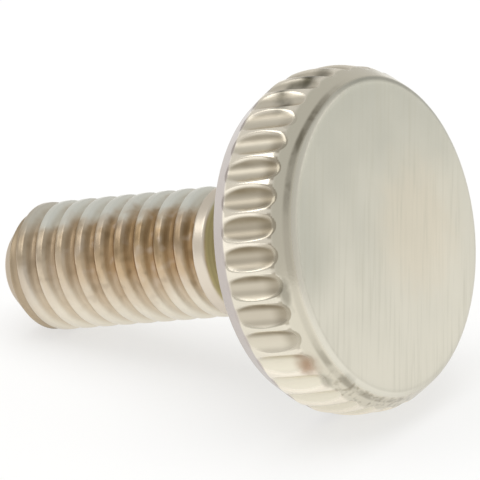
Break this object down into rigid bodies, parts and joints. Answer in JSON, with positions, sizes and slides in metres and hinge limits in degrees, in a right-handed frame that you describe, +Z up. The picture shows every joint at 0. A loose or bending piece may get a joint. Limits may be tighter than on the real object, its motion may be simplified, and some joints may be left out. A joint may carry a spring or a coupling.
{
  "type": "thumb screw",
  "caption": "Small one-piece thumb screw with a crowned, fluted round head, a plain neck and a threaded shank with a tapered flat tip; clamps a holder's stem by hand.",
  "frame": {"origin": "middle of the bounding box's underside, on the surface that the screw lies on", "axes": "+X towards the head, +Z up; the screw's own axis lies in the XZ plane and climbs about 16 degrees towards the head"},
  "size_m": [0.0154, 0.0108, 0.0107],
  "materials": {
    "nickel_plate": "satin nickel plate over turned brass, worn to a warm tan in the thread and olive at the neck"
  },
  "bodies": {
    "root": {"lyre_screw": "nickel_plate"}
  },
  "joints": []
}
